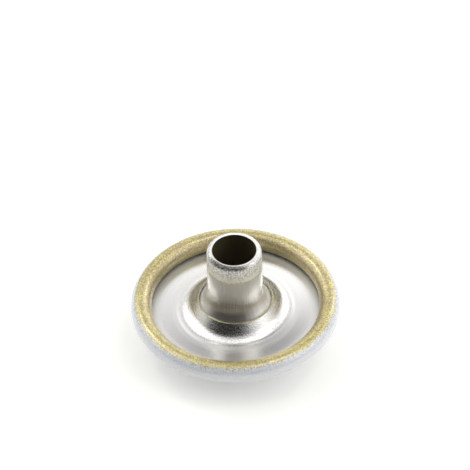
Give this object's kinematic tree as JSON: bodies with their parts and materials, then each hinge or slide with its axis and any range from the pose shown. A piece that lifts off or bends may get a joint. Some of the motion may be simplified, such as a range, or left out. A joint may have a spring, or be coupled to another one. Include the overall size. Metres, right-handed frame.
{
  "type": "snap fastener cap",
  "caption": "Domed snap fastener cap lying head down: enamelled shell with a rolled brass rim, nickel backing plate with a raised collar, and an open drawn barrel.",
  "frame": {"origin": "middle of the small flat on the crown of the domed head, where it touches the surface it lies on", "axes": "+Z along the barrel's axis, from the dome to the barrel's open end; X and Y are alike, because every piece is turned about Z"},
  "size_m": [0.0152, 0.0152, 0.0079],
  "materials": {
    "shell_enamel": "pale enamel over brass, with the rolled rim left bare",
    "plate_nickel": "bright nickel plate with fine turned marks",
    "barrel_nickel": "bright nickel plate with a satin nose"
  },
  "bodies": {
    "root": {"cap_shell": "shell_enamel", "backing_plate": "plate_nickel", "barrel": "barrel_nickel"}
  },
  "joints": []
}
